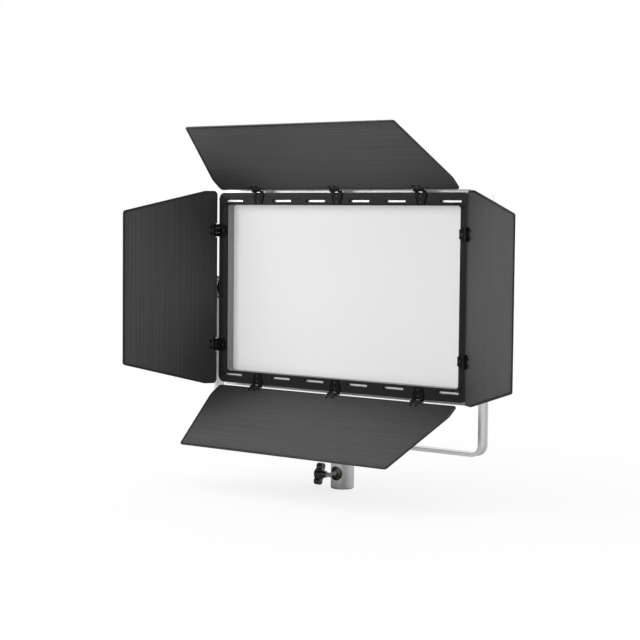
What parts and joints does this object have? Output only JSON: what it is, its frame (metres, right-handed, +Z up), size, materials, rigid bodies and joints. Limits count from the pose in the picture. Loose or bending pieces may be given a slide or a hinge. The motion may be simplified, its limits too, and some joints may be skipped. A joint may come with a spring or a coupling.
{
  "type": "led panel light",
  "caption": "Rectangular LED panel light with four hinged barn doors, tilting on a U-shaped yoke over a stand socket with a wing clamp screw.",
  "frame": {"origin": "centre of the stand socket's mouth, at the bottom of the yoke", "axes": "+Z up along the stand socket, the light faces -Y, +X to the right of someone looking at its front"},
  "size_m": [0.5461, 0.1999, 0.44],
  "materials": {
    "brushed_aluminium": "fine brushed, satin anodised",
    "turned_steel": "turned, satin",
    "zinc_screw": "dark zinc",
    "brass": "plain",
    "black_door": "fine brushed, black anodised",
    "black_hinge": "satin black",
    "black_bezel": "fine moulded texture",
    "black_knob": "moulded, slightly worn",
    "pod_plastic": "spark eroded texture",
    "white_plastic": "satin white",
    "grey_plastic": "satin grey",
    "diffuser_sheet": "opal sheet, lightly textured",
    "led_phosphor": "phosphor",
    "board_green": "solder mask",
    "board_white": "white solder mask",
    "component_black": "epoxy",
    "cable_red": "sleeved wire",
    "display_glass": "dark display window",
    "button_grey": "satin",
    "rocker_red": "moulded"
  },
  "bodies": {
    "yoke": {"yoke_bar": "brushed_aluminium", "stand_socket": "turned_steel", "socket_bolt": "zinc_screw", "socket_washer": "turned_steel", "tilt_washers": "turned_steel"},
    "lamp_head": {"side_frame": "brushed_aluminium", "front_bezel": "black_bezel", "back_cover": "brushed_aluminium", "reflector_frame": "grey_plastic", "diffuser": "diffuser_sheet", "light_box": "white_plastic", "led_board": "board_white", "led_chips": "led_phosphor", "heat_sink": "brushed_aluminium", "driver_board": "board_green", "driver_parts": "component_black", "board_standoffs": "brass", "board_screws": "zinc_screw", "wiring": "cable_red", "bezel_screws": "zinc_screw", "cover_screws": "zinc_screw", "tilt_inserts": "turned_steel", "tilt_spacers": "black_knob", "hinge_brackets": "black_hinge", "bracket_screws": "zinc_screw", "hinge_pins": "turned_steel", "control_housing": "pod_plastic", "pod_screws": "zinc_screw", "control_board": "board_green", "display_window": "display_glass", "encoder_bodies": "turned_steel", "rocker_housing": "pod_plastic", "power_inlet": "pod_plastic"},
    "clamp_slide": {"clamp_pad": "brass"},
    "wing_screw": {"clamp_screw": "turned_steel", "wing_knob": "black_knob"},
    "top_door": {"top_leaf": "black_door", "top_straps": "black_hinge", "top_rivets": "black_hinge"},
    "bottom_door": {"bottom_leaf": "black_door", "bottom_straps": "black_hinge", "bottom_rivets": "black_hinge"},
    "left_door": {"left_leaf": "black_door", "left_straps": "black_hinge", "left_rivets": "black_hinge"},
    "right_door": {"right_leaf": "black_door", "right_straps": "black_hinge", "right_rivets": "black_hinge"},
    "left_tilt_lock": {"tilt_knob_left": "black_knob", "tilt_stud_left": "turned_steel"},
    "right_tilt_lock": {"tilt_knob_right": "black_knob", "tilt_stud_right": "turned_steel"},
    "brightness_dial": {"brightness_knob": "black_knob", "brightness_shaft": "turned_steel"},
    "colour_dial": {"colour_knob": "black_knob", "colour_shaft": "turned_steel"},
    "menu_key": {"menu_button": "button_grey"},
    "mode_key": {"mode_button": "button_grey"},
    "power_switch": {"power_rocker": "rocker_red"}
  },
  "joints": [
    {"name": "tilt", "type": "hinge", "parent": "yoke", "child": "lamp_head", "pos_m": [0, 0, 0.241], "axis": [-1, 0, 0], "range_deg": [-8, 90]},
    {"name": "top_door_hinge", "type": "hinge", "parent": "lamp_head", "child": "top_door", "pos_m": [0, -0.0209, 0.3654], "axis": [-1, 0, 0], "range_deg": [-127, 53]},
    {"name": "bottom_door_hinge", "type": "hinge", "parent": "lamp_head", "child": "bottom_door", "pos_m": [0, -0.0209, 0.1166], "axis": [1, 0, 0], "range_deg": [-121, 59]},
    {"name": "left_door_hinge", "type": "hinge", "parent": "lamp_head", "child": "left_door", "pos_m": [-0.1876, -0.0209, 0.241], "axis": [0, 0, -1], "range_deg": [-122, 58]},
    {"name": "right_door_hinge", "type": "hinge", "parent": "lamp_head", "child": "right_door", "pos_m": [0.1876, -0.0209, 0.241], "axis": [0, 0, 1], "range_deg": [-146, 34]},
    {"name": "clamp_travel", "type": "slide", "parent": "yoke", "child": "clamp_slide", "axis": [1, 0, 0], "range_m": [-0.0014, 0.0014]},
    {"name": "wing_turn", "type": "hinge", "parent": "clamp_slide", "child": "wing_screw", "pos_m": [-0.0354, 0, 0.014], "axis": [1, 0, 0], "range_deg": [-360, 360]},
    {"name": "left_lock_turn", "type": "hinge", "parent": "lamp_head", "child": "left_tilt_lock", "pos_m": [-0.21, 0, 0.241], "axis": [-1, 0, 0], "range_deg": [0, 180]},
    {"name": "right_lock_turn", "type": "hinge", "parent": "lamp_head", "child": "right_tilt_lock", "pos_m": [0.21, 0, 0.241], "axis": [1, 0, 0], "range_deg": [0, 180]},
    {"name": "brightness_turn", "type": "hinge", "parent": "lamp_head", "child": "brightness_dial", "pos_m": [-0.052, 0.06, 0.255], "axis": [0, -1, 0], "continuous": true},
    {"name": "colour_turn", "type": "hinge", "parent": "lamp_head", "child": "colour_dial", "pos_m": [0.052, 0.06, 0.255], "axis": [0, -1, 0], "continuous": true},
    {"name": "menu_press", "type": "slide", "parent": "lamp_head", "child": "menu_key", "axis": [0, -1, 0], "range_m": [0, 0.0008]},
    {"name": "mode_press", "type": "slide", "parent": "lamp_head", "child": "mode_key", "axis": [0, -1, 0], "range_m": [0, 0.0008]},
    {"name": "power_rock", "type": "hinge", "parent": "lamp_head", "child": "power_switch", "pos_m": [-0.052, 0.0575, 0.221], "axis": [1, 0, 0], "range_deg": [-16, 0]}
  ],
  "couplings": [
    {"joint": "clamp_travel", "follows": "wing_turn", "m_per_rad": 0.00015915}
  ]
}
